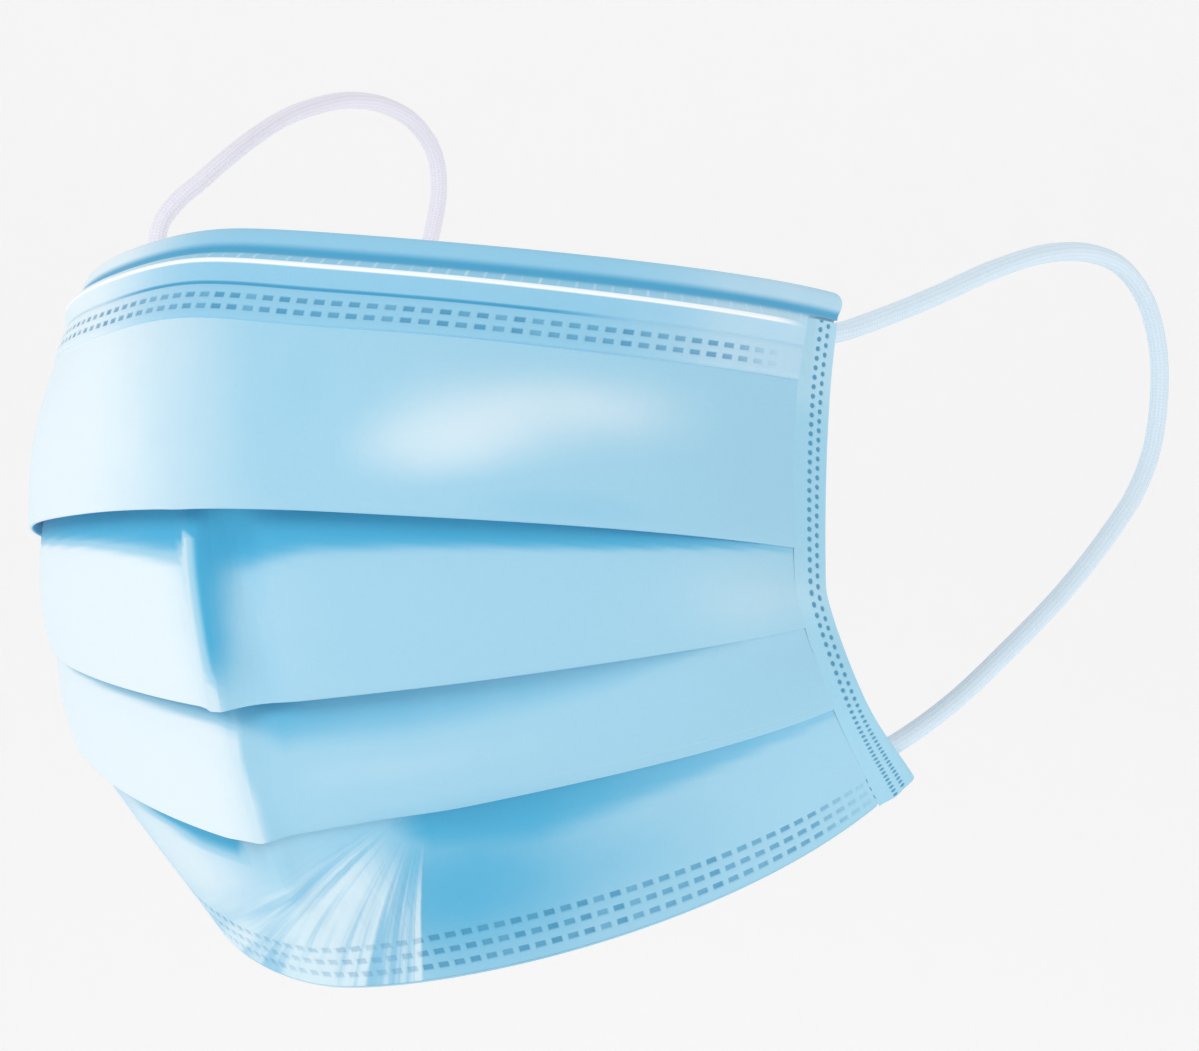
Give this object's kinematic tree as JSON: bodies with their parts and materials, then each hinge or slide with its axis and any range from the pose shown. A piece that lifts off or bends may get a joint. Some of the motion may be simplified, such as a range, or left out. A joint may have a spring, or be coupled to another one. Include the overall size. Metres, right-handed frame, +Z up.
{
  "type": "surgical face mask",
  "caption": "Pleated disposable face mask with welded hems, bound side edges, a nose wire and two round elastic ear loops, held open as worn.",
  "frame": {"origin": "the middle of the open back, between the two side edges and level with the middle of the face, where the wearer's face goes in", "axes": "+X to the wearer's left, +Y back towards the wearer, +Z up; the front of the mask faces -Y"},
  "size_m": [0.1497, 0.1583, 0.1478],
  "materials": {
    "panel_cloth": "soft light blue nonwoven, matt with a faint sheen",
    "hem_cloth": "folded light blue nonwoven with pressed welds",
    "binding_cloth": "light blue nonwoven strip with round welds",
    "wire_plastic": "white coated strip",
    "loop_elastic": "pale blue-white round knitted elastic"
  },
  "bodies": {
    "root": {"mask_body": "panel_cloth", "top_hem": "hem_cloth", "bottom_hem": "hem_cloth", "side_binding_left": "binding_cloth", "side_binding_right": "binding_cloth", "nose_wire": "wire_plastic", "ear_loop_left": "loop_elastic", "ear_loop_right": "loop_elastic"}
  },
  "joints": []
}
